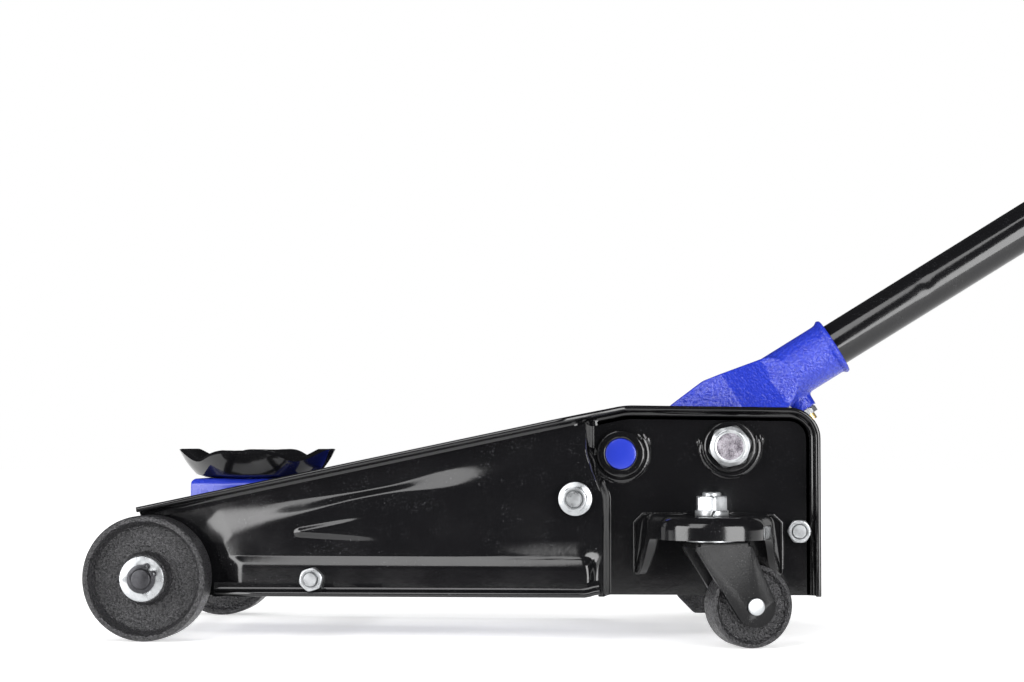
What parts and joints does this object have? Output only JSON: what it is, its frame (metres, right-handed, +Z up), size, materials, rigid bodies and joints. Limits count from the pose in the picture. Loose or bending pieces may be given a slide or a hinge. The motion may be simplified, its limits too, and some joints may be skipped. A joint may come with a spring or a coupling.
{
  "type": "hydraulic trolley jack",
  "caption": "Low hydraulic trolley jack: pressed side plates, lifting arm with a swivelling saddle, cast front wheels, swivelling rear casters and a long pump handle in a pivoting socket.",
  "frame": {"origin": "on the floor under the middle of the jack's bounding box", "axes": "+X from the front wheels towards the handle's grip, +Z up, +Y to the jack's right-hand side as seen from the handle looking forward at the saddle"},
  "size_m": [1.4024, 0.368, 0.7518],
  "materials": {
    "black_paint": "gloss black paint",
    "blue_paint": "gloss blue paint",
    "cast_black": "black paint on rough casting",
    "cast_blue": "gloss blue paint on a casting",
    "zinc": "bright zinc plate",
    "yellow_zinc": "yellow zinc plate",
    "dark_steel": "dark oiled steel",
    "spring_steel": "drawn spring wire",
    "chrome": "hard chrome",
    "grip_rubber": "matt black rubber"
  },
  "bodies": {
    "chassis": {"side_plate_left": "black_paint", "side_plate_right": "black_paint", "front_axle": "dark_steel", "axle_washers": "zinc", "axle_circlips": "dark_steel", "front_tie_rod": "zinc", "rear_tie_rod": "zinc", "tie_rod_spacers": "black_paint", "tie_rod_nuts": "zinc", "arm_pivot_collars": "black_paint", "handle_pivot_collars": "black_paint", "handle_pivot_bolts": "zinc", "link_bolts": "zinc", "link_bolt_spacers": "zinc", "link_bolt_nuts": "zinc", "caster_bracket_left": "black_paint", "caster_bracket_right": "black_paint", "caster_stems": "zinc", "caster_nuts": "zinc", "caster_spring_washers": "zinc", "caster_thrust_washers": "zinc", "pump_block": "cast_black", "ram_gland": "black_paint", "oil_filler_plug": "zinc", "pump_gland": "zinc", "pump_spring": "spring_steel", "return_spring_left": "spring_steel", "return_spring_right": "spring_steel"},
    "front_wheel_left": {"front_wheel_left": "cast_black"},
    "front_wheel_right": {"front_wheel_right": "cast_black"},
    "lift_arm": {"lift_arm": "blue_paint", "arm_shaft": "blue_paint", "saddle_pin": "dark_steel", "saddle_pin_clips": "dark_steel", "ram_pin": "dark_steel"},
    "saddle_base": {"saddle_bracket": "blue_paint", "link_pin": "zinc"},
    "saddle": {"saddle": "black_paint"},
    "levelling_link": {"link_bar_left": "black_paint", "link_bar_right": "black_paint"},
    "ram": {"ram_rod": "chrome", "ram_crosshead": "cast_black"},
    "handle_socket": {"handle_socket": "cast_blue", "cam_roller": "dark_steel", "roller_pin": "dark_steel", "handle_lock_screw": "yellow_zinc", "handle_lock_nut": "zinc"},
    "handle": {"lower_handle_tube": "black_paint", "upper_handle_tube": "black_paint", "handle_joint_screw": "yellow_zinc", "handle_grip": "grip_rubber"},
    "release_valve": {"release_valve": "dark_steel"},
    "pump_plunger": {"pump_plunger": "chrome"},
    "caster_fork_left": {"caster_fork_left": "black_paint", "caster_rivet_left": "zinc"},
    "caster_wheel_left": {"caster_wheel_left": "cast_black"},
    "caster_fork_right": {"caster_fork_right": "black_paint", "caster_rivet_right": "zinc"},
    "caster_wheel_right": {"caster_wheel_right": "cast_black"}
  },
  "joints": [
    {"name": "front_wheel_left_turn", "type": "hinge", "parent": "chassis", "child": "front_wheel_left", "pos_m": [-0.6527, -0.1305, 0.0485], "axis": [0, 1, 0], "continuous": true},
    {"name": "front_wheel_right_turn", "type": "hinge", "parent": "chassis", "child": "front_wheel_right", "pos_m": [-0.6527, 0.1305, 0.0485], "axis": [0, 1, 0], "continuous": true},
    {"name": "lift", "type": "hinge", "parent": "chassis", "child": "lift_arm", "pos_m": [-0.2884, 0, 0.1441], "axis": [0, 1, 0], "range_deg": [0, 68]},
    {"name": "saddle_level", "type": "hinge", "parent": "lift_arm", "child": "saddle_base", "pos_m": [-0.5917, 0, 0.092], "axis": [0, 1, 0], "range_deg": [-68.01, 0]},
    {"name": "saddle_turn", "type": "hinge", "parent": "saddle_base", "child": "saddle", "pos_m": [-0.595, 0, 0.1239], "axis": [0, 0, 1], "continuous": true},
    {"name": "link_swing", "type": "hinge", "parent": "chassis", "child": "levelling_link", "pos_m": [-0.322, 0, 0.1098], "axis": [0, 1, 0], "range_deg": [0, 68.01]},
    {"name": "ram_slide", "type": "slide", "parent": "chassis", "child": "ram", "axis": [-1, 0, 0], "range_m": [0, 0.06041], "deforming": ["return_spring_left", "return_spring_right"]},
    {"name": "handle_pump", "type": "hinge", "parent": "chassis", "child": "handle_socket", "pos_m": [-0.204, 0, 0.1498], "axis": [0, -1, 0], "range_deg": [0, 50]},
    {"name": "handle_twist", "type": "hinge", "parent": "handle_socket", "child": "handle", "pos_m": [-0.16623, 0, 0.2027], "axis": [0.8494, 0, 0.5277], "range_deg": [0, 180]},
    {"name": "valve_turn", "type": "hinge", "parent": "chassis", "child": "release_valve", "pos_m": [-0.2037, 0, 0.11172], "axis": [0, 0, 1], "range_deg": [0, 180.01]},
    {"name": "pump_stroke", "type": "slide", "parent": "chassis", "child": "pump_plunger", "axis": [0, 0, 1], "range_m": [0, 0.02696], "deforming": ["pump_spring"]},
    {"name": "caster_left_swivel", "type": "hinge", "parent": "chassis", "child": "caster_fork_left", "pos_m": [-0.2177, -0.15, 0.079], "axis": [0, 0, 1], "continuous": true},
    {"name": "caster_left_roll", "type": "hinge", "parent": "caster_fork_left", "child": "caster_wheel_left", "pos_m": [-0.19092, -0.14025, 0.0315], "axis": [-0.342, 0.9397, 0], "continuous": true},
    {"name": "caster_right_swivel", "type": "hinge", "parent": "chassis", "child": "caster_fork_right", "pos_m": [-0.2177, 0.15, 0.079], "axis": [0, 0, 1], "continuous": true},
    {"name": "caster_right_roll", "type": "hinge", "parent": "caster_fork_right", "child": "caster_wheel_right", "pos_m": [-0.19092, 0.14025, 0.0315], "axis": [0.342, 0.9397, 0], "continuous": true}
  ],
  "couplings": [
    {"joint": "saddle_level", "follows": "lift", "ratio": -1},
    {"joint": "link_swing", "follows": "lift", "ratio": 1},
    {"joint": "ram_slide", "follows": "lift", "m_per_rad": 0.050886},
    {"joint": "pump_stroke", "follows": "handle_pump", "m_per_rad": 0.030876},
    {"joint": "valve_turn", "follows": "handle_twist", "ratio": 1}
  ]
}
